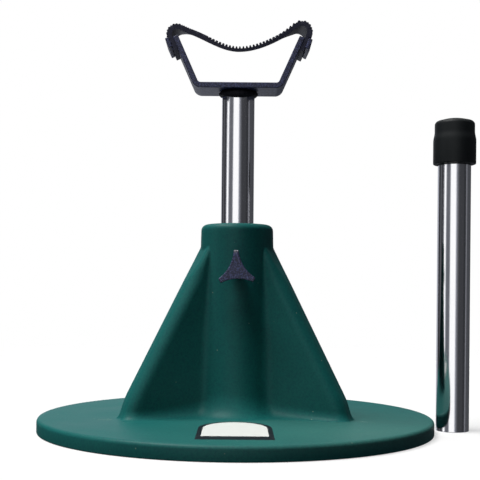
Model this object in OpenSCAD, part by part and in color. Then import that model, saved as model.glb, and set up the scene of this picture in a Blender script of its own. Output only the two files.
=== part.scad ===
// Hoof trimming stand. A moulded base with three fins holds a clamped post, and the post's
// head carries a sling of rough-top belting. A straight post with a rubber cap stands beside it.
// The origin is the centre of the disc's underside, +Z is up and the clamp knob faces -Y.

/* [Disc] */
// Diameter of the floor disc
disc_d = 457.2; // [400:0.1:520]
// Thickness of the floor disc
disc_t = 16.5; // [14:0.5:30]
// Radius of the disc's upper rim
disc_top_round = 4.5; // [1:0.5:7]
// Radius of the disc's lower rim
disc_low_round = 1.5; // [0.5:0.5:4]

/* [Column] */
// Height of the column above the disc
column_h = 222; // [212:1:260]
// Radius of the column at its top
column_r = 41.9; // [38:0.1:48]
// Draft of the column in degrees
column_draft = 1.3; // [0:0.1:2.5]
// Radius of the column's top rim
column_round = 7; // [1:0.5:8]

/* [Fins] */
// Angle from the front to each of the two front fins, in degrees
fin_spread = 69; // [55:1:80]
// Height above the disc at which the ridges leave the column
fin_h = 197; // [150:1:200]
// Reach of the ridges at the disc, from the axis
fin_reach = 143.7; // [110:0.1:180]
// How far a ridge's foot is tucked in from the line of the ridge
toe_tuck = 6; // [0:0.5:10]
// Height over which a ridge's foot is tucked in
toe_h = 30; // [15:1:45]
// Half of a fin's thickness
fin_half_t = 17.5; // [12:0.5:20]
// Radius of the ridges' long edges
fin_edge_r = 12.5; // [4:0.5:14]
// Width of the soft blend between a fin and the column
fin_blend = 14; // [4:1:20]
// Radius of the fillet between the disc and the column
foot_fillet = 16; // [8:1:24]
// Reach of the fillet at the outer end of a fin
fin_toe = 2.5; // [0.5:0.5:8]

/* [Socket and clamp] */
// Height of the socket's floor above the ground
socket_floor = 12; // [8:1:40]
// Wall of the steel sleeve that lines the socket
sleeve_wall = 2.85; // [1.5:0.05:5]
// Depth of the sleeve's end below the column's top
sleeve_recess = 1; // [0.5:0.5:6]
// Height of the clamp screw above the ground
clamp_z = 184; // [150:1:200]
// Diameter of the clamp stud
stud_d = 9.5; // [7:0.5:12]
// Outer diameter of the threaded insert
insert_d = 16; // [14:0.5:22]
// Depth of the insert's end below the column's face
insert_recess = 1; // [0.5:0.5:4]
// Room between the column and the knob's boss
knob_gap = 4; // [2:0.5:10]
// Length of the knob's boss
boss_l = 11; // [5:0.5:20]
// Diameter of the knob's boss
boss_d = 16; // [14:0.5:20]

/* [Knob] */
// Thickness of the three-armed knob plate
knob_t = 6.35; // [4:0.05:10]
// Reach of an arm's tip from the knob's centre
knob_reach = 22.4; // [20:0.1:34]
// Width of an arm's tip
knob_tip_w = 5.6; // [4:0.1:9]
// Radius of the corners of a tip
knob_tip_round = 1.2; // [0.4:0.1:1.8]
// Distance from the knob's centre to the hollow between two arms
knob_waist = 9.4; // [8.2:0.1:10]
// Angle at which the knob has come to rest, in degrees
knob_angle = 2; // [-60:1:60]

/* [Posts] */
// Outer diameter of both posts
post_d = 38.1; // [34:0.1:42]
// Wall of both posts
post_wall = 3; // [1.5:0.1:5]
// Length of the cradle's post
post_l = 304.8; // [270:0.1:360]
// Height of the cradle bracket above the column's top
post_out = 155.9; // [110:0.1:190]
// Length of the straight post's tube
spare_l = 355.6; // [250:0.1:420]
// Gap between the disc's rim and the straight post
spare_gap = 6.35; // [4:0.05:60]

/* [Post cap] */
// Height of the rubber cap
cap_h = 54; // [46:1:70]
// Thickness of the cap's crown above its washer
cap_crown = 8; // [5:0.5:14]
// Wall of the cap's skirt
cap_wall = 5.65; // [4:0.05:8]
// Step in from the skirt to the crown
cap_step = 1.6; // [0.4:0.1:3]
// Length of the skirt at full width
cap_skirt = 27; // [10:1:32]
// Length of the slope from the skirt to the crown
cap_slope = 11; // [4:1:13]
// Radius of the crown's shoulder
cap_shoulder = 5; // [2:0.5:6]
// Rise of the crown's dome
cap_dome = 3; // [1:0.5:5]
// Thickness of the washer inside the cap
washer_t = 2; // [1:0.5:4]

/* [Cradle bracket] */
// Width of the flat bar
bar_w = 50.8; // [44:0.1:70]
// Thickness of the flat bar
bar_t = 6.35; // [4:0.05:10]
// Inside radius of the bends
bend_r = 4; // [2:0.5:10]
// Width of the cradle's floor between the arms
cradle_w = 92; // [80:1:130]
// Lean of the arms from upright, in degrees
arm_lean = 24; // [10:1:35]
// Length of an arm along its inner face
arm_l = 59; // [50:1:90]
// Diameter of the bead around the top of the post
bead_d = 46; // [43:0.5:54]
// Height of the bead
bead_h = 10; // [5:0.5:16]

/* [Sling strap] */
// Width of the strap
strap_w = 48; // [42:0.5:50]
// Thickness of the strap below its ribs
strap_t = 4; // [3:0.1:7]
// Height of the ribs on the strap's upper face
rib_h = 2.4; // [0.5:0.1:3.5]
// Spacing of the ribs
rib_pitch = 4.3; // [3:0.1:8]
// Share of the ribs' height that is left under a clamp plate
rib_squash = 0.3; // [0.1:0.05:1]
// Length of the tail that lies along the outside of an arm
strap_tail = 15; // [12:0.5:30]
// Inside radius of the strap's bend over an arm
hump_r = 8; // [4:0.5:10]
// Height of the left bend above the arm's tip
hump_left = 1; // [0:0.5:8]
// Height of the right bend above the arm's tip
hump_right = 5; // [0:0.5:8]
// Slope at which the strap leaves the left bend, in degrees
slope_left = 9; // [0:1:40]
// Slope at which the strap leaves the right bend, in degrees
slope_right = 31; // [0:1:40]
// Depth of the strap's middle below the arms' tips
strap_sag = 13.2; // [4:0.1:20]
// Tilt of the strap's middle towards the front, in degrees
strap_tilt = 14; // [0:1:16]
// Length over which the strap comes to its tilt from the left arm
tilt_left = 31; // [12:1:80]
// Length over which the strap comes to its tilt from the right arm
tilt_right = 45; // [12:1:80]

/* [Strap clamps] */
// Length of a clamp plate along its arm
plate_l = 12; // [11:0.5:20]
// Height of a clamp plate above its arm's tip
plate_over = 2; // [0:0.5:3]
// Thickness of a clamp plate
plate_t = 4.2; // [3.5:0.05:8]
// Distance between the two screws of a clamp plate
screw_spacing = 28; // [20:0.5:30]
// Diameter of a clamp screw
screw_d = 4.8; // [4:0.05:6]
// Diameter of a clamp screw's flat head
screw_head_d = 9; // [8:0.1:10]
// Height of a clamp screw's flat head
screw_head_h = 2.4; // [2:0.1:3]

/* [Hidden] */
$fn = 96;

// Clearances
seat_gap = 0.05;
slide_gap = 0.3;
turn_gap = 0.08;
face_gap = 0.3;
screw_gap = 0.1;
strap_gap = 0.1;
// Overshoot of a cutting solid past the face that it opens
cut = 1;

// Sides and places of the strap's clamps
left = -1;
right = 1;
front = -1;
rear = 1;

// Base sizes
disc_r = disc_d / 2;
column_top = disc_t + column_h;
fin_lean = atan((fin_reach - column_r) / fin_h);
fin_edge = min(fin_edge_r, fin_half_t);
toe_share = fin_toe / foot_fillet;
// Depth to which the column and fins are rooted in the disc
root_depth = 4;
// Blend that is left along a ridge, and the length over which the blend fades in below its top
ridge_blend = 0.5;
blend_run = 40;

// Meshing of the column and fins
ridge_steps = 3;
flank_steps = 10;
flank_reach = 40;
foot_steps = 6;
foot_start = 8;
rise_steps = 11;
rise_crowding = 1.5;
round_steps = 4;
front_steps = 7;
back_steps = 4;
solve_steps = 18;
// Each fin: its angle, the angle to the next fin and the steps in the gap between them
front_gap = 2 * fin_spread;
back_gap = 180 - fin_spread;
FINS = [
    [90, back_gap, back_steps],
    [270 - fin_spread, front_gap, front_steps],
    [270 + fin_spread, back_gap, back_steps]
];

// Clamp sizes, as distances from the post's axis towards the front
post_r = post_d / 2;
socket_r = post_r + slide_gap;
sleeve_r = socket_r + sleeve_wall;
column_face = column_at(clamp_z - disc_t);
boss_face = column_face + knob_gap;
knob_back = boss_face + boss_l;
// Hollow between two of the knob's arms: half its chord, its depth and its radius
knob_tip = knob_reach - knob_tip_round;
hollow_half = knob_tip * cos(30) - knob_tip_w / 2 * sin(30);
hollow_depth = knob_tip * sin(30) + knob_tip_w / 2 * cos(30) - knob_waist;
hollow_r = (pow(hollow_half, 2) + pow(hollow_depth, 2)) / (2 * hollow_depth);
hollow_steps = 10;

// Cradle heights and the outer corner of an arm's tip
head_z = column_top + post_out;
bar_top = head_z + bar_t;
tip_x = cradle_w / 2 + arm_l * sin(arm_lean) + bar_t * cos(arm_lean);
tip_z = bar_top + arm_l * cos(arm_lean) - bar_t * sin(arm_lean);
inner_tip_z = bar_top + arm_l * cos(arm_lean);
plate_in = strap_gap + strap_t + rib_h * rib_squash + seat_gap;
plate_out = plate_in + plate_t;
// Height of the clamp screws on an arm, from its tip
screw_up = plate_over - plate_l / 2;

// Straight post
spare_x = disc_r + spare_gap + post_r;
cap_bore_r = post_r + seat_gap;
skirt_r = cap_bore_r + cap_wall;
crown_r = skirt_r - cap_step;
cap_top = spare_l + washer_t + seat_gap + cap_crown;
cap_low = cap_top - cap_h;

// Points along an arc about a centre
function arc(centre, r, from, to, steps) = [
    for (i = [0 : steps])
        let (a = from + (to - from) * i / steps)
        centre + r * [cos(a), sin(a)]
];

// Points turned about the origin
function turned(points, a) = [
    for (p = points) [p[0] * cos(a) - p[1] * sin(a), p[0] * sin(a) + p[1] * cos(a)]
];

// Column and fins: the radius of the blended body at an angle from a ridge and at a height
function column_at(h) = column_r + (column_h - h) * tan(column_draft);
function ridge_at(h) =
    fin_reach - (fin_reach - column_r) * h / fin_h - toe_tuck * pow(max(0, 1 - h / toe_h), 2);
function soft_min(a, b, width) = min(a, b) - pow(max(width - abs(a - b), 0), 2) / (4 * width);
function rounded_edge(p, q, r) = min(max(p, q) + r, 0) + norm([max(p + r, 0), max(q + r, 0)]) - r;
function fin_distance(r, a, h) =
    rounded_edge(r * sin(a) - fin_half_t, (r * cos(a) - ridge_at(h)) * cos(fin_lean), fin_edge);
function blend_at(r, a, h) =
    ridge_blend + fin_blend * pow(min(1, r * sin(a) / fin_half_t), 2)
    * min(1, max(0, (fin_h - h) / blend_run));
function body_distance(r, a, h) =
    soft_min(r - column_at(h), fin_distance(r, a, h), blend_at(r, a, h));
function body_radius(a, h, away, low, high, steps) =
    let (mid = (low + high) / 2)
    steps == 0 ? mid :
    body_distance(mid, a, h) > away ? body_radius(a, h, away, low, mid, steps - 1) :
    body_radius(a, h, away, mid, high, steps - 1);

// Angles from a ridge: even steps over the ridge, then steps that follow the flank to the column
function edge_angle(h, away) =
    min(atan2(fin_half_t + away, max(ridge_at(h) - fin_edge, fin_edge)), flank_reach / 2);
function side_angles(edge) =
    let (ratio = sin(flank_reach) / sin(edge))
    concat(
        [for (i = [0 : ridge_steps]) edge * i / ridge_steps],
        [for (i = [1 : flank_steps]) asin(sin(edge) * pow(ratio, i / flank_steps))]);

// Share of the foot's fillet at an angle: small at the end of a fin, whole at the column
function foot_share(a, edge) =
    let (inward = min(1, max(0, (a - edge) / (flank_reach - edge))))
    toe_share + (1 - toe_share) * sin(90 * inward);
function side_profile(h, away, inset) =
    let (edge = edge_angle(h, away * toe_share))
    [for (a = side_angles(edge))
        [a, body_radius(a, h, away * foot_share(a, edge), 0, disc_r, solve_steps) - inset]];
function fin_profile(side) = concat(
    [for (i = [len(side) - 1 : -1 : 1]) [-side[i][0], side[i][1]]],
    side);
function polar(a, r, z) = [r * cos(a), r * sin(a), z];

// Levels of the column and fins: height, distance out in the foot's fillet, step in at the rim
foot_levels = [
    for (i = [0 : foot_steps - 1])
        let (a = foot_start + (90 - foot_start) * i / foot_steps)
        [foot_fillet * (1 - cos(a)), foot_fillet * (1 - sin(a)), 0]
];
rise_top = (fin_h + column_h - column_round) / 2;
rise_levels = [
    for (i = [0 : rise_steps])
        let (s = 1 - pow(1 - i / rise_steps, rise_crowding))
        [foot_fillet + (rise_top - foot_fillet) * s, 0, 0]
];
rim_levels = [
    for (i = [0 : round_steps])
        let (a = 90 * i / round_steps)
        [column_h - column_round * (1 - sin(a)), 0, column_round * (1 - cos(a))]
];
LEVELS = concat(foot_levels, rise_levels, rim_levels);

function ring(level, z) =
    let (profile = fin_profile(side_profile(level[0], level[1], level[2])))
    let (gap_r = column_at(level[0]) + level[1] - level[2])
    [for (fin = FINS) each concat(
        [for (p = profile) polar(fin[0] + p[0], p[1], z)],
        [for (i = [1 : fin[2] - 1])
            polar(fin[0] + flank_reach + (fin[1] - 2 * flank_reach) * i / fin[2], gap_r, z)])];
function grid_faces(rings, count) = [
    for (i = [0 : rings - 2], j = [0 : count - 1])
        let (k = (j + 1) % count, a = i * count, b = a + count)
        each [[a + j, b + j, b + k], [a + j, b + k, a + k]]
];
function cap_faces(low, high, first, count) = [
    for (j = [0 : count - 1])
        let (k = (j + 1) % count)
        each [[low, j, k], [high, first + k, first + j]]
];

module column_and_fins() {
    rooted = ring(LEVELS[0], -root_depth);
    rings = concat([rooted], [for (level = LEVELS) ring(level, level[0])]);
    count = len(rooted);
    points = concat([for (r = rings) each r], [[0, 0, -root_depth], [0, 0, column_h]]);
    low = len(rings) * count;
    faces = concat(
        grid_faces(len(rings), count),
        cap_faces(low, low + 1, low - count, count));
    polyhedron(points, faces, convexity = 6);
}

module disc() {
    rotate_extrude()
        polygon(concat(
            [[0, 0]],
            arc([disc_r - disc_low_round, disc_low_round], disc_low_round, -90, 0, round_steps),
            arc([disc_r - disc_top_round, disc_t - disc_top_round], disc_top_round, 0, 90, round_steps),
            [[0, disc_t]]));
}

// A solid on the clamp's axis, from one distance to another in front of the post's axis
module clamp_rod(d, from, to) {
    translate([0, -from, clamp_z])
        rotate([90, 0, 0])
            cylinder(d = d, h = to - from);
}

module base_moulding() {
    color("#12513f")
        difference() {
            union() {
                disc();
                translate([0, 0, disc_t])
                    column_and_fins();
            }
            translate([0, 0, socket_floor])
                cylinder(r = sleeve_r + seat_gap, h = column_top - socket_floor + cut);
            clamp_rod(insert_d + 2 * seat_gap, 0, column_face + cut);
        }
}

module socket_sleeve() {
    color("#8d9296")
        difference() {
            translate([0, 0, socket_floor])
                cylinder(r = sleeve_r, h = column_top - sleeve_recess - socket_floor);
            translate([0, 0, socket_floor - cut])
                cylinder(r = socket_r, h = column_top - socket_floor + 2 * cut);
            clamp_rod(stud_d + 2 * slide_gap, 0, sleeve_r + cut);
        }
}

module clamp_insert() {
    color("#b08d4a")
        difference() {
            clamp_rod(insert_d, sleeve_r + seat_gap, column_face - insert_recess);
            clamp_rod(stud_d + 2 * turn_gap, sleeve_r - cut, column_face + cut);
        }
}

module clamp_stud() {
    color("#9a9ca0")
        clamp_rod(stud_d, post_r + face_gap, knob_back - face_gap);
}

module knob_boss() {
    color("#1b1b22")
        difference() {
            clamp_rod(boss_d, boss_face, knob_back);
            clamp_rod(stud_d + 2 * turn_gap, boss_face - cut, knob_back + cut);
        }
}

// Outline of the knob: three rounded tips, with a hollow arc from each tip to the next
module knob_outline() {
    side = knob_tip_w / 2 - knob_tip_round;
    spread = asin(hollow_half / hollow_r) * (1 - 2 / hollow_steps);
    hollow = arc([knob_waist + hollow_r, 0], hollow_r, 180 + spread, 180 - spread, hollow_steps - 2);
    polygon([
        for (turn = [0, 120, 240])
            each concat(
                turned(arc([knob_tip, -side], knob_tip_round, -90, 0, round_steps), turn),
                turned(arc([knob_tip, side], knob_tip_round, 0, 90, round_steps), turn),
                turned(hollow, turn + 60))
    ]);
}

module clamp_knob() {
    color("#1b1b22")
        translate([0, -knob_back, clamp_z])
            rotate([90, 0, 0])
                rotate([0, 0, 90 + knob_angle])
                    linear_extrude(knob_t)
                        knob_outline();
}

module tube(l) {
    difference() {
        cylinder(d = post_d, h = l);
        translate([0, 0, -cut])
            cylinder(d = post_d - 2 * post_wall, h = l + 2 * cut);
    }
}

module post_tube() {
    color("#c9cccf")
        translate([0, 0, head_z - face_gap - post_l])
            tube(post_l);
}

// Rounded bead under the bracket, where the post meets it
module head_bead() {
    bore_r = post_r + turn_gap;
    bulge = bead_d / 2 - bore_r;
    // Radius of the bead's bulge, from its height and its width
    bead_r = (pow(bead_h / 2, 2) + pow(bulge, 2)) / (2 * bulge);
    half_angle = asin(bead_h / 2 / bead_r);
    color("#17171d")
        translate([0, 0, head_z - bead_h / 2])
            rotate_extrude()
                polygon(arc([bead_d / 2 - bead_r, 0], bead_r, -half_angle, half_angle, 3 * round_steps));
}

// Outline of the bent bar in the plane of the arms
module bracket_outline() {
    outer_r = bend_r + bar_t;
    bend = 90 - arm_lean;
    flat = cradle_w / 2 - bend_r * tan(bend / 2);
    centre = [flat, bar_t + bend_r];
    inner_tip = [cradle_w / 2 + arm_l * sin(arm_lean), bar_t + arm_l * cos(arm_lean)];
    outer_tip = [tip_x, tip_z - head_z];
    half = concat(
        arc(centre, outer_r, -90, -90 + bend, 2 * round_steps),
        [outer_tip, inner_tip],
        arc(centre, bend_r, -90 + bend, -90, 2 * round_steps));
    polygon(concat(half, [for (i = [len(half) - 1 : -1 : 0]) [-half[i][0], half[i][1]]]));
}

// Places its children on the outer face of an arm: X is outwards and Z is up the arm, from the tip
module on_arm(side) {
    mirror([side == left ? 1 : 0, 0, 0])
        translate([tip_x, 0, tip_z])
            rotate([0, arm_lean, 0])
                children();
}

// A rod along the axis of a clamp screw
module screw_rod(place, d, from, to) {
    translate([from, place * screw_spacing / 2, screw_up])
        rotate([0, 90, 0])
            cylinder(d = d, h = to - from);
}

module screw_head(place, gap) {
    translate([plate_out - screw_head_h, place * screw_spacing / 2, screw_up])
        rotate([0, 90, 0])
            cylinder(d1 = screw_d + 2 * gap, d2 = screw_head_d + 2 * gap, h = screw_head_h);
}

module screw_holes(from, to) {
    for (place = [front, rear])
        screw_rod(place, screw_d + 2 * screw_gap, from, to);
}

module cradle_bracket() {
    color("#22222a")
        difference() {
            translate([0, bar_w / 2, head_z])
                rotate([90, 0, 0])
                    linear_extrude(bar_w)
                        bracket_outline();
            for (side = [left, right])
                on_arm(side)
                    screw_holes(-bar_t - cut, cut);
        }
}

// Strap route: up the outside of an arm, over the hump and down to the middle of the cradle
hump_steps = 14;
span_steps = 24;
function arm_point(x, z) =
    [tip_x + x * cos(arm_lean) + z * sin(arm_lean), tip_z - x * sin(arm_lean) + z * cos(arm_lean)];
function hermite(p, q, dp, dq, t) =
    (2 * pow(t, 3) - 3 * pow(t, 2) + 1) * p + (pow(t, 3) - 2 * pow(t, 2) + t) * dp
    + (3 * pow(t, 2) - 2 * pow(t, 3)) * q + (pow(t, 3) - pow(t, 2)) * dq;
function half_route(rise, slope) =
    let (centre = [strap_gap - hump_r, rise])
    let (bend = arc(centre, hump_r, 0, 90 + arm_lean + slope, hump_steps))
    let (over = [for (p = bend) arm_point(p[0], p[1])])
    let (start = over[hump_steps])
    let (reach = norm(start - MIDDLE))
    let (down = reach * [-cos(slope), -sin(slope)], level = reach * [-1, 0])
    concat(
        [arm_point(strap_gap, -strap_tail)],
        over,
        [for (i = [1 : span_steps]) hermite(start, MIDDLE, down, level, i / span_steps)]);
MIDDLE = [0, inner_tip_z - strap_sag];
right_route = half_route(hump_right, slope_right);
left_route = [for (p = half_route(hump_left, slope_left)) [-p[0], p[1]]];
ROUTE = concat(left_route, [for (i = [len(right_route) - 2 : -1 : 0]) right_route[i]]);

// Distance along the route at each of its points, and the route's point at a distance
function lengths(points, i = 0, sum = 0) =
    i == len(points) - 1 ? [sum] :
    concat([sum], lengths(points, i + 1, sum + norm(points[i + 1] - points[i])));
ROUTE_S = lengths(ROUTE);
ROUTE_X = [for (i = [0 : len(ROUTE) - 1]) [ROUTE_S[i], ROUTE[i][0]]];
ROUTE_Z = [for (i = [0 : len(ROUTE) - 1]) [ROUTE_S[i], ROUTE[i][1]]];
strap_l = ROUTE_S[len(ROUTE) - 1];
// Step along the strap over which its direction is taken
probe = 0.5;
function route_at(s) = [lookup(s, ROUTE_X), lookup(s, ROUTE_Z)];
function heading_at(s) =
    let (d = route_at(min(s + probe, strap_l)) - route_at(max(s - probe, 0)))
    d / norm(d);
function eased(share) = (1 - cos(180 * min(1, max(0, share)))) / 2;
function tilt_at(s) =
    strap_tilt * eased((s - strap_tail - hump_left) / tilt_left)
    * eased((strap_l - s - strap_tail - hump_right) / tilt_right);
function rib_at(s) = rib_h * (min(s, strap_l - s) < strap_tail + plate_over ? rib_squash : 1);

// Four corners of the strap's section at a distance along it, with its upper face at a height.
function strap_section(s, h) =
    let (p = route_at(s), d = heading_at(s), tilt = tilt_at(s))
    let (half = strap_w / 2)
    [for (c = [[-half, 0], [half, 0], [half, h], [-half, h]])
        let (above = d[0] * c[1])
        [p[0] - d[1] * c[1], c[0] * cos(tilt) - above * sin(tilt),
            p[1] + c[0] * sin(tilt) + above * cos(tilt)]];

module strap_body() {
    ribs = floor(strap_l / rib_pitch);
    stations = 2 * ribs + 1;
    sections = [
        for (i = [0 : stations - 1])
            let (s = strap_l * i / (stations - 1))
            strap_section(s, strap_t + (i % 2) * rib_at(s))
    ];
    sides = grid_faces(stations, 4);
    last = 4 * (stations - 1);
    polyhedron(
        [for (s = sections) each s],
        concat(sides, [[0, 1, 2], [0, 2, 3]], [[last, last + 2, last + 1], [last, last + 3, last + 2]]),
        convexity = 10);
}

module sling_strap() {
    color("#1d1d26")
        difference() {
            strap_body();
            for (side = [left, right])
                on_arm(side)
                    screw_holes(-cut, plate_out);
        }
}

module strap_plate(side) {
    color("#22222a")
        on_arm(side)
            difference() {
                translate([plate_in, -bar_w / 2, plate_over - plate_l])
                    cube([plate_t, bar_w, plate_l]);
                screw_holes(plate_in - cut, plate_out + cut);
                for (place = [front, rear])
                    screw_head(place, screw_gap);
            }
}

module strap_screw(side, place) {
    color("#2a2a30")
        on_arm(side) {
            screw_rod(place, screw_d, -bar_t, plate_out - screw_head_h);
            screw_head(place, 0);
        }
}

module spare_post_tube() {
    color("#c9cccf")
        translate([spare_x, 0, 0])
            tube(spare_l);
}

module spare_cap_washer() {
    color("#8d9296")
        translate([spare_x, 0, spare_l])
            cylinder(d = post_d, h = washer_t);
}

module spare_post_cap() {
    shoulder_z = cap_top - cap_dome - cap_shoulder;
    shoulder_x = crown_r - cap_shoulder;
    dome_r = (pow(shoulder_x, 2) + pow(cap_dome, 2)) / (2 * cap_dome);
    dome_a = asin(shoulder_x / dome_r);
    bore_top = spare_l + washer_t + seat_gap;
    color("#101114")
        translate([spare_x, 0, 0])
            rotate_extrude()
                polygon(concat(
                    [[cap_bore_r, cap_low], [skirt_r, cap_low], [skirt_r, cap_low + cap_skirt]],
                    [[crown_r, cap_low + cap_skirt + cap_slope]],
                    arc([shoulder_x, shoulder_z], cap_shoulder, 0, 90 - dome_a, round_steps),
                    arc([0, cap_top - dome_r], dome_r, 90 - dome_a, 90, 2 * round_steps),
                    [[0, bore_top], [cap_bore_r, bore_top]]));
}

base_moulding();
socket_sleeve();
clamp_insert();
clamp_stud();
knob_boss();
clamp_knob();
post_tube();
head_bead();
cradle_bracket();
sling_strap();
strap_plate(left);  // strap_plate_left
strap_plate(right);  // strap_plate_right
strap_screw(left, front);  // strap_screw_left_front
strap_screw(left, rear);  // strap_screw_left_rear
strap_screw(right, front);  // strap_screw_right_front
strap_screw(right, rear);  // strap_screw_right_rear
spare_post_tube();
spare_post_cap();
spare_cap_washer();
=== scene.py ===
"""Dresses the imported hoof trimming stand: skins, finishes, light and camera."""

import math
from functools import partial

import bmesh
import bpy
import numpy as np
from bpy.props import FloatProperty, FloatVectorProperty, PointerProperty
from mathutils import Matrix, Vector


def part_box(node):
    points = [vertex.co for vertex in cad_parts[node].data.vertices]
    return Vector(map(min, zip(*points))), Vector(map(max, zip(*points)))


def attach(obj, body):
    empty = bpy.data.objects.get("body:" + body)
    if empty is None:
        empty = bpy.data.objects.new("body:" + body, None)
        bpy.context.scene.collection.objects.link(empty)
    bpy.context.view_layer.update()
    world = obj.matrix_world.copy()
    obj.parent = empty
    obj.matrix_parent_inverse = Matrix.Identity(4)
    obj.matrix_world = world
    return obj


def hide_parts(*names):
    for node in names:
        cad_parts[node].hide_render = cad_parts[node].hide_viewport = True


bl_info = {
    "name": "Hoof trimming stand",
    "version": (1, 0, 0),
    "blender": (4, 5, 0),
    "location": "View3D > Sidebar > Stand",
    "description": "Builds the dressed stand around its packed solids",
    "category": "Object",
}

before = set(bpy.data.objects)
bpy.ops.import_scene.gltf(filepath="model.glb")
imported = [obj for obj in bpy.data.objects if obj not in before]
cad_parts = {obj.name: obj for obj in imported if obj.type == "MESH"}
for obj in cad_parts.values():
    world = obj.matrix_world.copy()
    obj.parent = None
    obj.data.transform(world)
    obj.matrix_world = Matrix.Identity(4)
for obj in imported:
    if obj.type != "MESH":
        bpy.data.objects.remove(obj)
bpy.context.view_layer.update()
MM = 0.001
LEFT, RIGHT = -1, 1
FRONT, REAR = -1, 1


def linear(code):
    """Linear red, green and blue of an sRGB hex colour."""
    parts = [int(code[i:i + 2], 16) / 255 for i in (1, 3, 5)]
    return tuple(c / 12.92 if c <= 0.04045 else ((c + 0.055) / 1.055) ** 2.4 for c in parts)


def length(label, about, mm):
    """A size property, given in millimetres."""
    return FloatProperty(
        name=label, description=about, default=mm * MM, unit="LENGTH", precision=5)


def angle(label, about, degrees):
    """An angle property, given in degrees."""
    return FloatProperty(
        name=label, description=about, default=math.radians(degrees), subtype="ANGLE")


def share(label, about, part):
    """A property for a share between none and all."""
    return FloatProperty(
        name=label, description=about, default=part, min=0, max=1, subtype="FACTOR")


def colour(label, about, code):
    """A colour property, given as an sRGB hex value."""
    return FloatVectorProperty(
        name=label, description=about, default=linear(code), size=3, subtype="COLOR", min=0, max=1)


class BaseSizes(bpy.types.PropertyGroup):
    """Sizes of the moulded base and its label"""
    disc_d: length("Disc diameter", "Across the floor disc", 457.2)
    disc_t: length("Disc thickness", "Height of the disc's top face", 16.5)
    disc_top_round: length("Upper rim radius", "Rounding of the disc's upper rim", 4.5)
    disc_low_round: length("Lower rim radius", "Rounding of the disc's lower rim", 1.5)
    column_h: length("Column height", "From the disc's top to the column's top", 222)
    column_r: length("Column radius", "At the column's top", 41.9)
    column_draft: angle("Column draft", "Lean of the column's wall", 1.3)
    column_round: length("Column rim radius", "Rounding of the column's top rim", 7)
    fin_spread: angle("Fin spread", "From the front to each front fin", 69)
    fin_h: length("Fin height", "Where the ridges leave the column", 197)
    fin_reach: length("Fin reach", "From the axis to the foot of a ridge's line", 143.7)
    toe_tuck: length("Toe tuck", "From a ridge's line in to its foot", 6)
    toe_h: length("Toe height", "Height over which a ridge's foot is tucked in", 30)
    fin_half_t: length("Fin half thickness", "Half of a fin's thickness", 17.5)
    fin_edge: length("Ridge edge radius", "Rounding of a ridge's long edges", 12.5)
    fin_blend: length("Fin blend", "Soft blend from a fin into the column", 8)
    foot_rise: length("Foot rise", "Height of the fillet at the column's foot", 30)
    foot_reach: length("Foot reach", "Reach of the fillet at the column's foot", 20)
    fin_rise: length("Fin foot rise", "Height of the fillet at a fin's outer end", 11)
    fin_foot: length("Fin foot reach", "Reach of the fillet along a fin's side", 8)
    fin_toe: length("Fin toe", "Reach of the fillet at a fin's outer end", 2.5)
    socket_r: length("Socket radius", "Hole that holds the sleeve", 22.25)
    socket_floor: length("Socket floor", "Height of the socket's floor", 12)
    label_w: length("Label width", "Across the label", 78)
    label_l: length("Label length", "From the label's straight edge to its crown", 129)
    label_side: length("Label side", "Along a straight side of the label", 78)
    label_border: length("Label border", "Width of the label's dark border", 5)
    label_foot: length("Label foot", "Width of the dark band at the straight edge", 21)
    label_y: length("Label place", "From the axis to the label's straight edge", 194)


class ClampSizes(bpy.types.PropertyGroup):
    """Sizes of the clamp screw and its knob"""
    height: length("Clamp height", "Height of the clamp's axis", 184)
    insert_d: length("Insert diameter", "Hole for the threaded insert", 16.1)
    pitch: length("Thread pitch", "Pitch of the stud's thread", 1.57)
    thread: length("Thread depth", "Depth of the stud's thread", 0.8)
    reach: length("Arm reach", "From the knob's centre to a tip", 22.4)
    tip_w: length("Tip width", "Across the tip of an arm", 5.6)
    tip_round: length("Tip radius", "Rounding of a tip's corners", 1.2)
    waist: length("Knob waist", "From the centre to a hollow", 9.4)
    turn: angle("Knob angle", "Angle at which the knob has come to rest", 2)
    edge: length("Knob edge", "Rounding of the knob plate's edges", 1)
    boss_edge: length("Boss edge", "Rounding of the boss's edges", 0.8)
    # The bare patch is partly wear and partly a painted highlight
    rubbed_and_highlight: length("Rubbed tip", "Reach of the bare patch on the upper tip", 5)


class PostSizes(bpy.types.PropertyGroup):
    """Sizes of the posts and the rubber cap"""
    wall: length("Tube wall", "Wall of both posts", 3)
    edge: length("Tube edge", "Rounding of the tubes' ends", 0.6)
    cap_step: length("Cap step", "From the skirt in to the crown", 1.6)
    cap_skirt: length("Cap skirt", "Height of the skirt", 27)
    cap_slope: length("Cap slope", "Height of the slope above the skirt", 11)
    cap_shoulder: length("Cap shoulder", "Rounding of the crown", 5)
    cap_dome: length("Cap dome", "Rise of the crown", 3)
    cap_lip: length("Cap lip", "Rounding of the skirt's lower edge", 1.2)
    cap_crown: length("Cap crown", "Thickness of the crown", 8)


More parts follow.
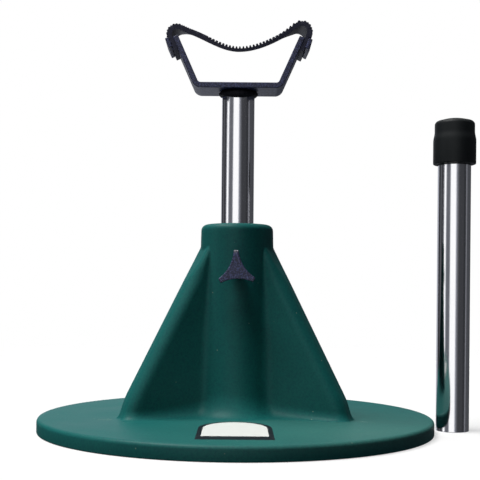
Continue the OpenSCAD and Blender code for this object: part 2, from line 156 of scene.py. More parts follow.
class CradleSizes(bpy.types.PropertyGroup):
    """Sizes of the cradle bracket, its sling strap and the strap's clamps"""
    bar_t: length("Bar thickness", "Thickness of the flat bar", 6.35)
    bar_edge: length("Bar edge", "Rounding of the bar's edges", 0.9)
    bend_r: length("Bend radius", "Inside radius of the bends", 4)
    cradle_w: length("Cradle width", "Floor between the arms", 92)
    arm_lean: angle("Arm lean", "Lean of the arms from upright", 24)
    arm_l: length("Arm length", "Along an arm's inner face", 59)
    bead_d: length("Bead diameter", "Across the weld bead under the bracket", 46)
    bead_ripple: length("Bead ripple", "Height of the weld's ripples", 0.35)
    bead_thin: share("Bead thinning", "Share by which the weld is lower at the sides", 0.42)
    strap_w: length("Strap width", "Across the strap", 48)
    strap_t: length("Strap thickness", "Below the ribs", 4)
    strap_gap: length("Strap gap", "Between the strap and an arm", 0.1)
    rib_h: length("Rib height", "Height of the ribs", 2.4)
    rib_pitch: length("Rib spacing", "Spacing of the ribs", 4.3)
    rib_squash: share("Rib squash", "Share of the ribs' height left under a clamp plate", 0.3)
    close_left: length("Left close ribs", "Length of closed-up ribs from the left tail", 46)
    close_right: length("Right close ribs", "Length of closed-up ribs from the right tail", 17)
    close_fade: length("Rib opening", "Length over which the ribs open again", 12)
    strap_tail: length("Strap tail", "Along the outside of an arm", 15)
    hump_r: length("Hump", "Inside radius of the strap's bend over an arm", 8)
    hump_left: length("Left hump height", "Left bend above the arm's tip", 1)
    hump_right: length("Right hump height", "Right bend above the arm's tip", 5)
    slope_left: angle("Left slope", "Slope at which the strap leaves the left bend", 9)
    slope_right: angle("Right slope", "Slope at which the strap leaves the right bend", 31)
    strap_sag: length("Strap sag", "Middle below the arms' tips", 13.2)
    strap_tilt: angle("Strap tilt", "Tilt of the middle towards the front", 14)
    tilt_left: length("Left tilt run", "Length over which the tilt comes from the left", 31)
    tilt_right: length("Right tilt run", "Length over which the tilt comes from the right", 45)
    plate_l: length("Plate length", "Clamp plate along its arm", 12)
    plate_over: length("Plate overhang", "Clamp plate above its arm's tip", 2)
    plate_t: length("Plate thickness", "Thickness of a clamp plate", 4.2)
    plate_edge: length("Plate edge", "Rounding of a clamp plate's edges", 0.8)
    seat_gap: length("Seat gap", "Between a plate and the strap's ribs", 0.05)
    screw_spacing: length("Screw spacing", "Between a plate's two screws", 28)
    screw_d: length("Screw diameter", "Diameter of a screw's shank", 4.8)
    screw_head_d: length("Screw head", "Diameter of a screw's flat head", 9)
    screw_head_h: length("Screw head height", "Height of a screw's flat head", 2.4)
    screw_gap: length("Screw gap", "Room round a screw", 0.1)
    hex_r: length("Hex socket", "Corner radius of a screw's socket", 1.75)
    hex_depth: length("Hex depth", "Depth of a screw's socket", 1.5)


class StandColours(bpy.types.PropertyGroup):
    """Colours of the stand's finishes"""
    green: colour("Green", "Moulded base", "#176560")
    green_deep: colour("Deep green", "Darker drift in the base", "#145b58")
    fleck: colour("Flecks", "Dark flecks in the base", "#0f474e")
    # Pale marks of scuffs and dust, partly painted highlight on the rim and painted light
    scuff_and_painted_light: colour("Scuff", "Dry scuffs on the base", "#9fb5a0")
    steel: colour("Stainless steel", "Both posts", "#cdcdcf")
    plain_steel: colour("Drawn steel", "Sleeve and washer", "#8d9296")
    zinc: colour("Zinc", "Clamp stud", "#a9adb2")
    brass: colour("Brass", "Threaded insert", "#b08d4a")
    coat: colour("Coat", "Hammered coat", "#1b1e3a")
    # Crest colour: the coat's own pattern and painted highlights on the dimples' crests
    coat_crest_and_highlight: colour("Coat crests", "Crests of the hammered coat", "#5e6799")
    # Bare tip colour: partly wear and partly a painted highlight
    bare: colour("Bare tip", "Rubbed tip of the knob", "#96959f")
    # Darker copy of the coat, painted as the shade under the bar
    weld: colour("Weld", "Coat over the weld", "#090913")
    oxide: colour("Black oxide", "Strap screws", "#222328")
    belt: colour("Belting", "Sling strap", "#1b1d33")
    # Paler dust on the rib crests, which also stands for painted glints
    belt_dust_and_glint: colour("Belting dust", "Dust on the strap's ribs", "#747892")
    cap: colour("Cap rubber", "Post cap", "#15191b")
    label_dark: colour("Label border", "Border of the bare label", "#0d0f18")
    label_pale: colour("Label panel", "Panel of the bare label", "#e9ece8")
    floor: colour("Floor", "Studio floor", "#f4f4f4")


def rgba(shade):
    """A colour property as a node socket takes it."""
    return (*shade, 1.0)


def per_mm(size):
    """Texture scale at which one feature measures this many millimetres."""
    return 1 / (size * MM)


def add(tree, kind, *fed, **given):
    """Adds a node with its properties and what feeds its sockets, in their order or by name."""
    made = tree.nodes.new("ShaderNode" + kind)
    named = {}
    for key, value in given.items():
        if hasattr(made, key):
            setattr(made, key, value)
        else:
            named[key.replace("_", " ")] = value
    in_use = [socket for socket in made.inputs if socket.enabled]
    for socket, value in [*zip(in_use, fed), *((made.inputs[key], named[key]) for key in named)]:
        if isinstance(value, bpy.types.Node):
            value = next(output for output in value.outputs if output.enabled)
        if isinstance(value, bpy.types.NodeSocket):
            tree.links.new(value, socket)
        else:
            socket.default_value = value
    return made


def begin(name):
    """An empty material, the call that adds its nodes, and the piece's own coordinates."""
    finish = bpy.data.materials.new(name)
    finish.use_nodes = True
    finish.node_tree.nodes.clear()
    node = partial(add, finish.node_tree)
    return finish, node, node("TexCoord").outputs["Object"]


def end(finish, **given):
    """Adds the shader and the output of a material."""
    node = partial(add, finish.node_tree)
    node("OutputMaterial", node("BsdfPrincipled", **given))
    return finish


def moulded_polyethylene(name, c):
    """Rotationally moulded polyethylene, green right through."""
    # Waxy satin skin with a faint orange peel, an uneven green and pale dry scuffs
    # Pale rim line: partly a painted highlight. Front-right veil: dust and painted light
    finish, node, place = begin(name)
    drift = node("TexNoise", place, Scale=per_mm(55), Detail=3)
    peel = node("TexNoise", place, Scale=per_mm(2.4), Detail=2)
    wave = node("TexNoise", place, Scale=per_mm(38), Detail=1)
    grit = node("TexNoise", place, Scale=per_mm(3.2), Detail=5, Roughness=0.7)
    worn_and_highlight = node("Attribute", attribute_name="scuff_and_painted_light").outputs["Fac"]
    dust_and_light_mask = node("Attribute", attribute_name="dust_and_painted_light").outputs["Fac"]
    tone = node("Mix", drift, rgba(c.green_deep), rgba(c.green), data_type="RGBA")
    # Real flecks are under a millimetre, so they share the peel's coarser grain to show
    flecks = node("MapRange", peel, From_Min=0.4, From_Max=0.7, To_Max=0.45)
    mottled = node("Mix", flecks, tone, rgba(c.fleck), data_type="RGBA")
    # Scuff marks; along the disc's rim they partly stand for a painted highlight
    rubbed_and_highlight = node("Math", worn_and_highlight, grit, operation="MULTIPLY")
    marks = node("MapRange", rubbed_and_highlight, From_Min=0.34, From_Max=0.52, To_Max=0.6)
    # Chips of about 1 mm, a few in each hand's breadth
    chips = node("TexVoronoi", place, Scale=per_mm(17))
    specks = node("MapRange", chips, From_Min=0.02, From_Max=0.06, To_Min=0.4, To_Max=0)
    # A pale veil, partly dust and partly painted light on the disc's front right
    veil = node("Math", dust_and_light_mask, grit, operation="MULTIPLY")
    pale_marks_and_light = node("Math", marks, veil, operation="MAXIMUM")
    pale = node("Math", pale_marks_and_light, specks, operation="MAXIMUM")
    skin = node("Mix", pale, mottled, rgba(c.scuff_and_painted_light), data_type="RGBA")
    dull = node("MapRange", drift, To_Min=0.4, To_Max=0.56)
    low = node("Bump", Height=wave, Strength=0.25, Distance=0.6 * MM)
    fine = node("Bump", Height=peel, Normal=low, Strength=0.12, Distance=0.15 * MM)
    return end(finish, Base_Color=skin, Roughness=dull, Normal=fine,
               IOR=1.51, Specular_IOR_Level=0.1)


def polished_stainless(name, c):
    """Welded stainless tube, ground round and round and then polished."""
    # Sharp upright reflections, slightly drawn out by the fine rings of the grinding
    finish, node, place = begin(name)
    # Real rings are finer than a pixel, so they are drawn 0.8 mm apart
    rings = node("Mapping", place, Scale=(per_mm(14), per_mm(14), per_mm(0.8)))
    grind = node("TexNoise", rings, Scale=1, Detail=3)
    cloud = node("TexNoise", place, Scale=per_mm(22), Detail=2)
    both = node("Math", grind, cloud, operation="MULTIPLY")
    gloss = node("MapRange", both, From_Max=0.5, To_Min=0.09, To_Max=0.17)
    lines = node("Bump", Height=grind, Strength=0.05, Distance=0.05 * MM)
    return end(finish, Base_Color=rgba(c.steel), Metallic=1, Roughness=gloss, Normal=lines)


def hammered_coat(name, c):
    """Hammered powder coat, baked on steel."""
    # Close small dimples with painted highlights on their bluish crests, against a near-black
    # ground
    finish, node, place = begin(name)
    cells = node("TexVoronoi", place, Scale=per_mm(1.4), feature="SMOOTH_F1")
    grain = node("TexNoise", place, Scale=per_mm(1.1), Detail=3, Roughness=0.65)
    crest = node("Math", cells, grain, operation="MULTIPLY")
    lift = node("MapRange", crest, From_Min=0.16, From_Max=0.42)
    tone = node("Mix", lift, rgba(c.coat), rgba(c.coat_crest_and_highlight), data_type="RGBA")
    # The upper tip's bare patch is partly wear and partly a painted highlight
    worn_and_highlight = node("Attribute", attribute_name="rubbed_and_highlight").outputs["Fac"]
    patchy = node("Math", worn_and_highlight, grain, operation="MULTIPLY")
    shiny = node("MapRange", patchy, From_Min=0.12, From_Max=0.3, To_Max=0.9)
    skin = node("Mix", shiny, tone, rgba(c.bare), data_type="RGBA")
    gloss = node("MapRange", grain, To_Min=0.3, To_Max=0.5)
    dimples = node("Bump", Height=crest, Strength=0.75, Distance=0.5 * MM)
    return end(finish, Base_Color=skin, Roughness=gloss, Normal=dimples,
               IOR=1.5, Specular_IOR_Level=0.33)


def rough_top_rubber(name, c):
    """Rough-top conveyor belting, moulded rubber on a fabric carcass."""
    # Matt blue-black rubber, with pale dust on its rib crests that also stands for painted glints
    finish, node, place = begin(name)
    raised = node("Attribute", attribute_name="crest").outputs["Fac"]
    # The real grain is under a millimetre, so it is drawn at 2.4 mm to show
    grain = node("TexNoise", place, Scale=per_mm(2.4), Detail=4, Roughness=0.7)
    # Dust on the crests, partly painted glints on the rib tops
    dust_and_light_mask = node("Math", raised, grain, operation="MULTIPLY")
    dust_and_painted_light = node("MapRange", dust_and_light_mask, From_Min=0.4, From_Max=0.74)
    tone = node("Mix", dust_and_painted_light, rgba(c.belt), rgba(c.belt_dust_and_glint), data_type="RGBA")
    rough = node("Bump", Height=grain, Strength=0.6, Distance=0.35 * MM)
    return end(finish, Base_Color=tone, Roughness=0.5, Normal=rough,
               IOR=1.52, Specular_IOR_Level=0.22)


def plain_finish(name, c, shade, dull, blotch, relief, **shader):
    """A finish of one colour: its shine varies in blotches, and its skin has a fine relief."""
    finish, node, place = begin(name)
    size, detail = blotch
    patches = node("TexNoise", place, Scale=per_mm(size), Detail=detail)
    shader["Roughness"] = node("MapRange", patches, To_Min=dull[0], To_Max=dull[1])
    if relief:
        size, detail, strength, depth = relief
        grain = node("TexNoise", place, Scale=per_mm(size), Detail=detail)
        shader["Normal"] = node("Bump", Height=grain, Strength=strength, Distance=depth * MM)
    return end(finish, Base_Color=rgba(getattr(c, shade)), **shader)


METAL, FILM = {"Metallic": 1}, {"IOR": 1.53}
# Colour, least and most roughness, blotches (mm, detail), relief (mm, detail, strength, mm deep)
# and the shader's other values
PLAIN_FINISHES = {
    # Weld coat, nearly black as painted shade under the bar; dull, with soft lumps from the ripples
    "powder_coat_over_weld": ("weld", (0.55, 0.75), (3, 3), (3, 3, 0.4, 0.4),
                              {"IOR": 1.5, "Specular_IOR_Level": 0.12}),
    # Compression-moulded rubber: even, very dark and softly glossy, with a faint bloom
    "rubber_moulded_black": ("cap", (0.42, 0.62), (16, 4), (0.9, 2, 0.15, 0.1),
                             {"IOR": 1.52, "Specular_IOR_Level": 0.14}),
    # Bare and plated metals: a soft shine, broken up by the fine marks of their working
    "mild_steel_drawn": ("plain_steel", (0.3, 0.5), (3, 3), (3, 3, 0.1, 0.05), METAL),
    "brass_turned": ("brass", (0.25, 0.4), (1, 3), (1, 3, 0.1, 0.05), METAL),
    "steel_zinc_plated": ("zinc", (0.25, 0.4), (2, 3), (2, 3, 0.1, 0.05), METAL),
    "steel_black_oxide": ("oxide", (0.35, 0.5), (2, 3), (2, 3, 0.1, 0.05), METAL),
    # Bare label film: smooth and slightly glossy, with faint handling marks
    "vinyl_label_dark": ("label_dark", (0.3, 0.5), (9, 5), None, FILM),
    "vinyl_label_pale": ("label_pale", (0.3, 0.5), (9, 5), None, FILM),
}
RICH_FINISHES = {
    "moulded_polyethylene_green": moulded_polyethylene,
    "stainless_steel_polished": polished_stainless,
    "powder_coat_hammered": hammered_coat,
    "rubber_belting_rough_top": rough_top_rubber,
}


def finish_named(name):
    """A finish by its name, made the first time that it is asked for."""
    shades = bpy.context.scene.stand_colours
    if name in bpy.data.materials:
        return bpy.data.materials[name]
    if name in RICH_FINISHES:
        return RICH_FINISHES[name](name, shades)
    *look, shader = PLAIN_FINISHES[name]
    return plain_finish(name, shades, *look, **shader)


def new_object(name, points, faces):
    """A mesh object with its faces turned outwards."""
    mesh = bpy.data.meshes.new(name)
    mesh.from_pydata([tuple(p) for p in points], [], faces)
    shell = bmesh.new()
    shell.from_mesh(mesh)
    bmesh.ops.recalc_face_normals(shell, faces=shell.faces)
    shell.to_mesh(mesh)
    shell.free()
    piece = bpy.data.objects.new(name, mesh)
    bpy.context.scene.collection.objects.link(piece)
    return piece


def soften(piece, width):
    """Rounds the sharp edges of a mesh, and evens its shading."""
    sharp = math.radians(50)
    shell = bmesh.new()
    shell.from_mesh(piece.data)
    edges = [e for e in shell.edges if len(e.link_faces) == 2 and e.calc_face_angle() > sharp]
    bmesh.ops.bevel(shell, geom=edges, offset=width, segments=3, profile=0.5,
                    affect="EDGES", clamp_overlap=True)
    shell.to_mesh(piece.data)
    shell.free()
    piece.modifiers.new("even_shading", "WEIGHTED_NORMAL").keep_sharp = True
    return piece


def cut_away(piece, cutter):
    """Takes the cutter's volume out of a piece, and removes the cutter."""
    tool = piece.modifiers.new("cut", "BOOLEAN")
    tool.operation = "DIFFERENCE"
    tool.solver = "EXACT"
    tool.object = cutter
    graph = bpy.context.evaluated_depsgraph_get()
    cut = bpy.data.meshes.new_from_object(piece.evaluated_get(graph))
    piece.modifiers.remove(tool)
    old, piece.data = piece.data, cut
    cut.name = piece.name
    bpy.data.meshes.remove(old)
    bpy.data.objects.remove(cutter)


def mark(piece, name, values):
    """Stores a value at each point of a piece, which its finish reads."""
    piece.data.attributes.new(name, "FLOAT", "POINT").data.foreach_set("value", values)


def dress(piece, finish, body, stands_for=(), crease=38.0):
    """Gives a piece its finish and its body, and hides the solids that it stands for."""
    piece.data.materials.clear()
    piece.data.materials.append(finish_named(finish))
    piece.data.shade_smooth()
    piece.data.set_sharp_from_angle(angle=math.radians(crease))
    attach(piece, body)
    if stands_for:
        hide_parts(*stands_for)


def dress_solid(node, finish):
    """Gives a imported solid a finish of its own."""
    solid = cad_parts[node]
    solid.data.materials.clear()
    solid.data.materials.append(finish_named(finish))
    if not solid.data.polygons:
        raise RuntimeError(f"{node} has no faces")


def arc(centre, r, start, stop, steps):
    """Points along an arc, with its angles in degrees."""
    turns = [math.radians(start + (stop - start) * i / steps) for i in range(steps + 1)]
    return [(centre[0] + r * math.cos(a), centre[1] + r * math.sin(a)) for a in turns]


def circle(r, steps):
    """Points round a circle."""
    return arc((0, 0), r, 0, 360 * (1 - 1 / steps), steps - 1)


def grid_faces(rows, count, closed=False):
    """Quads between rows of this many points, and from the last row to the first if closed."""
    return [
        (i * count + j, i * count + (j + 1) % count,
         (i + 1) % rows * count + (j + 1) % count, (i + 1) % rows * count + j)
        for i in range(rows if closed else rows - 1) for j in range(count)]


def capped(points, count):
    """Skin over rows of this many points, with a flat face at each end."""
    total = len(points)
    ends = [tuple(range(count)), tuple(range(total - 1, total - count - 1, -1))]
    return points, grid_faces(total // count, count) + ends


def pointed(points, count, first, last):
    """Skin over rows of this many points, drawn to a point at each end."""
    total = len(points)
    top = total - count
    faces = grid_faces(total // count, count)
    faces += [(total, (j + 1) % count, j) for j in range(count)]
    faces += [(total + 1, top + j, top + (j + 1) % count) for j in range(count)]
    return [*points, first, last], faces


def revolve(profile, steps, centre=(0.0, 0.0), closed=False):
    """Skin of a profile of radius and height turned about an upright axis.

    An open profile starts and ends on the axis."""
    rings = profile if closed else profile[1:-1]
    turns = [math.tau * j / steps for j in range(steps)]
    points = [(centre[0] + r * math.cos(a), centre[1] + r * math.sin(a), z)
              for r, z in rings for a in turns]
    if closed:
        return points, grid_faces(len(rings), steps, closed)
    return pointed(points, steps, (*centre, profile[0][1]), (*centre, profile[-1][1]))


class BaseForm:
    """The blended body of the base: column and fins as distances that melt together."""
    # The least blend, over a ridge, and the drop over which the full blend comes in
    ridge_blend, blend_run = 0.5 * MM, 100 * MM
    # The drop over which a ridge's edges get their full rounding, and its least share
    edge_run, least_edge = 40 * MM, 0.45
    # The less its edge is rounded, the further the ridge draws back, for a straight outline
    edge_pull = 0.31
    flank_reach = math.radians(40)
    ridge_steps, flank_steps, front_steps, back_steps = 12, 34, 22, 14
    solve_steps = 34
    # Rings up the foot's fillet, the flanks, the ridges' ends, the neck and the rim
    foot_rings, flank_rings, end_rings, neck_rings, rim_rings = 18, 38, 15, 3, 9
    below_end, above_end = 8 * MM, 6 * MM

    def __init__(self, s):
        self.s = s
        self.disc_r = s.disc_d / 2
        self.lean = math.atan((s.fin_reach - s.column_r) / s.fin_h)
        front_gap, back_gap = 2 * s.fin_spread, math.pi - s.fin_spread
        self.fins = (
            (math.pi / 2, back_gap, self.back_steps),
            (math.pi * 1.5 - s.fin_spread, front_gap, self.front_steps),
            (math.pi * 1.5 + s.fin_spread, back_gap, self.back_steps),
        )

    def column_at(self, h):
        """Radius of the column at a height."""
        return self.s.column_r + (self.s.column_h - h) * math.tan(self.s.column_draft)

    def ridge_at(self, h):
        """Reach of a ridge at a height."""
        s = self.s
        tuck = s.toe_tuck * max(0, 1 - h / s.toe_h) ** 2
        return s.fin_reach - (s.fin_reach - s.column_r) * h / s.fin_h - tuck

    def distance(self, r, a, h):
        """Signed distance to the body, at a radius and an angle from a ridge."""
        s = self.s
        edge = s.fin_edge * min(1, max(self.least_edge, (s.fin_h - h) / self.edge_run))
        across = r * np.sin(a) - s.fin_half_t
        ridge = self.ridge_at(h) - self.edge_pull * (s.fin_edge - edge)
        along = (r * np.cos(a) - ridge) * math.cos(self.lean)
        rounded = np.hypot(np.maximum(across + edge, 0), np.maximum(along + edge, 0))
        fin = np.minimum(np.maximum(across, along) + edge, 0) + rounded - edge
        column = r - self.column_at(h)
        fade = min(1, max(0, (s.fin_h - h) / self.blend_run))
        off_ridge = np.minimum(1, r * np.sin(a) / s.fin_half_t) ** 2
        width = self.ridge_blend + s.fin_blend * fade * off_ridge
        melt = np.maximum(width - np.abs(column - fin), 0) ** 2 / (4 * width)
        return np.minimum(column, fin) - melt

    def radius(self, a, h, away):
        """Radius at which the body is a given distance away, found by halving."""
        low, high = np.zeros_like(a), np.full_like(a, self.disc_r)
        for _ in range(self.solve_steps):
            mid = (low + high) / 2
            outside = self.distance(mid, a, h) > away
            low, high = np.where(outside, low, mid), np.where(outside, mid, high)
        return (low + high) / 2

    def foot(self, h, corner, inward):
        """Distance that the foot's fillet adds at a height.

        It grows round a ridge's corner (0 to 1), and in to the column (0 to 1)."""
        s = self.s
        part = np.sin(inward * math.pi / 2)
        turned = corner ** 2 * (3 - 2 * corner)
        along_fin = s.fin_toe + (s.fin_foot - s.fin_toe) * turned
        reach = along_fin + (s.foot_reach - s.fin_foot) * part
        rise = s.fin_rise + (s.foot_rise - s.fin_rise) * part
        return reach * (1 - np.sqrt(1 - np.clip(1 - h / rise, 0, 1) ** 2))

    def side(self, h):
        """Angles from a ridge to the column, and the body's radius at each."""
        s = self.s
        flank_from = max(self.ridge_at(h) - s.fin_edge, s.fin_edge)
        edge = min(math.atan2(s.fin_half_t + self.foot(h, 1, 0), flank_from), self.flank_reach / 2)
        over = np.linspace(0, edge, self.ridge_steps + 1)
        steps = np.arange(1, self.flank_steps + 1) / self.flank_steps
        down = np.arcsin(math.sin(edge) * (math.sin(self.flank_reach) / math.sin(edge)) ** steps)
        a = np.concatenate([over, down])
        inward = np.clip((a - edge) / (self.flank_reach - edge), 0, 1)
        return a, self.radius(a, h, self.foot(h, np.minimum(a / edge, 1), inward))

    def ring(self, h, inset):
        """Angles and radii all round the body at a height, drawn in by an inset."""
        a, r = self.side(h)
        a, r = np.concatenate([-a[:0:-1], a]), np.concatenate([r[:0:-1], r])
        angles, radii = [], []
        for turn, gap, steps in self.fins:
            between = np.arange(1, steps) / steps * (gap - 2 * self.flank_reach)
            angles += [turn + a, turn + self.flank_reach + between]
            radii += [r, np.full_like(between, self.column_at(h) + self.foot(h, 1, 1))]
        return np.concatenate(angles), np.concatenate(radii) - inset

    def levels(self):
        """Heights and insets of the rings, with the foot's fillet and the rim's rounding."""
        s = self.s
        foot = np.radians(np.linspace(2, 90, self.foot_rings, endpoint=False))
        rim_start = s.column_h - s.column_round
        below, above = s.fin_h - self.below_end, s.fin_h + self.above_end
        heights = np.concatenate([
            s.foot_rise * (1 - np.cos(foot)),
            np.linspace(s.foot_rise, below, self.flank_rings, endpoint=False),
            np.linspace(below, above, self.end_rings),
            np.linspace(above, rim_start, self.neck_rings + 2)[1:-1]])
        rim = arc((-s.column_round, rim_start), s.column_round, 0, 90, self.rim_rings - 1)
        return [(h, 0.0) for h in heights] + [(h, -out) for out, h in rim]


def base_skin(s):
    """Closed skin of the base, from the middle of its underside to the socket's floor."""
    form = BaseForm(s)
    body = [(*form.ring(h, inset), s.disc_t + h) for h, inset in form.levels()]
    (foot_a, foot_r, _), (top_a, top_r, _) = body[0], body[-1]
    low, high, lip = s.disc_low_round, s.disc_top_round, 0.6 * MM
    inner, outer, top = form.disc_r - low, form.disc_r - high, s.disc_t + s.column_h
    disc = [(inner * part, 0.0) for part in (0.25, 0.6, 0.9)]
    disc += arc((inner, low), low, -90, 0, 5)
    disc += arc((outer, s.disc_t - high), high, 0, 90, 9)
    mouth = arc((s.socket_r + lip, top - lip), lip, 90, 180, 3) + [(s.socket_r, s.socket_floor)]
    rings = [(foot_a, np.full_like(foot_a, r), z) for r, z in disc]
    rings += [(foot_a, foot_r + (outer - foot_r) * part, s.disc_t)
              for part in (0.97, 0.85, 0.65, 0.45, 0.27, 0.12, 0.04)]
    rings += body
    rings += [(top_a, s.socket_r + (top_r - s.socket_r) * part, top) for part in (0.5, 0.1)]
    rings += [(top_a, np.full_like(top_a, r), z) for r, z in mouth]
    points = [(r * math.cos(a), r * math.sin(a), z)
              for angles, radii, z in rings for a, r in zip(angles, radii)]
    return pointed(points, len(foot_a), (0, 0, 0), (0, 0, s.socket_floor))


def mark_wear(piece, s):
    """Stores toe wear, a rim line partly of painted highlight, and dust partly of painted light."""
    past_toe, toe_reach, rim_reach, rim_scuff_and_highlight = 12 * MM, 22 * MM, 5 * MM, 0.6
    dust_and_light_centre, dust_and_light_reach, most_dust_and_light = (130 * MM, -140 * MM), 260 * MM, 0.18
    r = s.fin_reach + past_toe
    toes = [(r * math.sin(a), -r * math.cos(a), s.disc_t)
            for a in (-s.fin_spread, s.fin_spread, math.pi)]
    scuff_and_painted_light, dust_and_painted_light = [], []
    for vertex in piece.data.vertices:
        x, y, z = vertex.co
        upper = z > s.disc_t / 2
        near = min(math.dist((x, y, z), toe) for toe in toes)
        rim = abs(math.hypot(x, y) - s.disc_d / 2 + s.disc_top_round / 2)
        # Along the rim the wear partly stands for a painted highlight
        worn_and_highlight = max(1 - near / toe_reach, rim_scuff_and_highlight * (1 - rim / rim_reach), 0.0)
        # The veil is partly dust and partly painted light on the disc's front right
        veil = most_dust_and_light * max(0, 1 - math.dist((x, y), dust_and_light_centre) / dust_and_light_reach)
        scuff_and_painted_light.append(worn_and_highlight if upper else 0.0)
        dust_and_painted_light.append(veil if upper and z < s.disc_t + MM else 0.0)
    mark(piece, "scuff_and_painted_light", scuff_and_painted_light)
    mark(piece, "dust_and_painted_light", dust_and_painted_light)


class STAND_OT_base(bpy.types.Operator):
    """Moulds the disc, the column and the fins in one skin"""
    bl_idname = "stand.base"
    bl_label = "Moulded base"

    def execute(self, context):
        s, clamp = context.scene.stand_base, context.scene.stand_clamp
        base = new_object("moulded_base", *base_skin(s))
        r, past_wall = clamp.insert_d / 2, s.column_r + 8 * MM
        points, faces = revolve([(0.0, 0.0), (r, 0.0), (r, past_wall), (0.0, past_wall)], 48)
        cut_away(base, new_object(
            "drill", [(x, -z, clamp.height + y) for x, y, z in points], faces))
        mark_wear(base, s)
        dress(base, "moulded_polyethylene_green", "base", ["base_moulding"])
        dress_solid("socket_sleeve", "mild_steel_drawn")
        dress_solid("clamp_insert", "brass_turned")
        return {"FINISHED"}


class STAND_OT_label(bpy.types.Operator):
    """Lays the bare label on the disc, with its crown towards the column"""
    bl_idname = "stand.label"
    bl_label = "Bare label"

    def execute(self, context):
        s = context.scene.stand_base
        steps, film, press = 40, 0.25 * MM, 0.05 * MM

        def outline(inset, foot, z):
            """The label's edge, drawn in by an inset and cut off at the foot."""
            half, rise = s.label_w / 2 - inset, s.label_l - s.label_side - inset
            crown = arc((0, 0), 1, 0, 180, steps)
            line = [(half, foot), *((half * x, s.label_side + rise * y) for x, y in crown),
                    (-half, foot)]
            return [(x, y - s.label_y, s.disc_t + z) for x, y in line]

        rows = (outline(0, 0, -press), outline(0, 0, film),
                outline(s.label_border, s.label_foot, film))
        label = new_object("bare_label", *capped(sum(rows, []), len(rows[0])))
        dress(label, "vinyl_label_dark", "base")
        label.data.materials.append(finish_named("vinyl_label_pale"))
        panel = max(label.data.polygons, key=lambda face: (face.loop_total, face.center.z))
        panel.material_index = 1
        return {"FINISHED"}


class STAND_OT_posts(bpy.types.Operator):
    """Draws both stainless tubes, with their ends deburred"""
    bl_idname = "stand.posts"
    bl_label = "Stainless posts"

    def execute(self, context):
        s = context.scene.stand_posts
        for node, body in (("post_tube", "cradle_post"), ("spare_post_tube", "straight_post")):
            low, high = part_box(node)
            centre = ((low.x + high.x) / 2, (low.y + high.y) / 2)
            e, r = s.edge, (high.x - low.x) / 2
            outer, inner, bottom, top = r - e, r - s.wall + e, low.z + e, high.z - e
            profile = [*arc((outer, bottom), e, -90, 0, 3), *arc((outer, top), e, 0, 90, 3),
                       *arc((inner, top), e, 90, 180, 3), *arc((inner, bottom), e, 180, 270, 3)]
            tube = new_object(f"{body}_tube", *revolve(profile, 128, centre, closed=True))
            dress(tube, "stainless_steel_polished", body, [node])
        return {"FINISHED"}


class STAND_OT_cap(bpy.types.Operator):
    """Moulds the straight post's rubber cap"""
    bl_idname = "stand.cap"
    bl_label = "Rubber cap"

    def execute(self, context):
        s = context.scene.stand_posts
        low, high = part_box("spare_post_cap")
        tube_low, tube_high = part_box("spare_post_tube")
        tight, lip, slope_steps = 0.05 * MM, s.cap_lip, 8
        skirt, bore = (high.x - low.x) / 2, (tube_high.x - tube_low.x) / 2 + tight
        bore_top = high.z - s.cap_crown
        corner_x = skirt - s.cap_step - s.cap_shoulder
        corner_z = high.z - s.cap_dome - s.cap_shoulder
        dome_r = (corner_x ** 2 + s.cap_dome ** 2) / (2 * s.cap_dome)
        dome = math.degrees(math.asin(corner_x / dome_r))
        profile = [(0.0, bore_top), (bore, bore_top)]
        profile += arc((bore + lip, low.z + lip), lip, 180, 270, 4)
        profile += arc((skirt - lip, low.z + lip), lip, -90, 0, 4)
        for t in np.linspace(0, 1, slope_steps + 1):
            in_by = s.cap_step * (1 - math.cos(math.pi * t)) / 2
            profile.append((skirt - in_by, low.z + s.cap_skirt + s.cap_slope * t))
        profile += arc((corner_x, corner_z), s.cap_shoulder, 0, 90 - dome, 8)
        profile += arc((0.0, high.z - dome_r), dome_r, 90 - dome, 90, 10)[1:-1]
        profile.append((0.0, high.z))
        centre = ((low.x + high.x) / 2, (low.y + high.y) / 2)
        cap = new_object("rubber_cap", *revolve(profile, 96, centre))
        dress(cap, "rubber_moulded_black", "straight_post", ["spare_post_cap"])
        dress_solid("spare_cap_washer", "mild_steel_drawn")
        return {"FINISHED"}


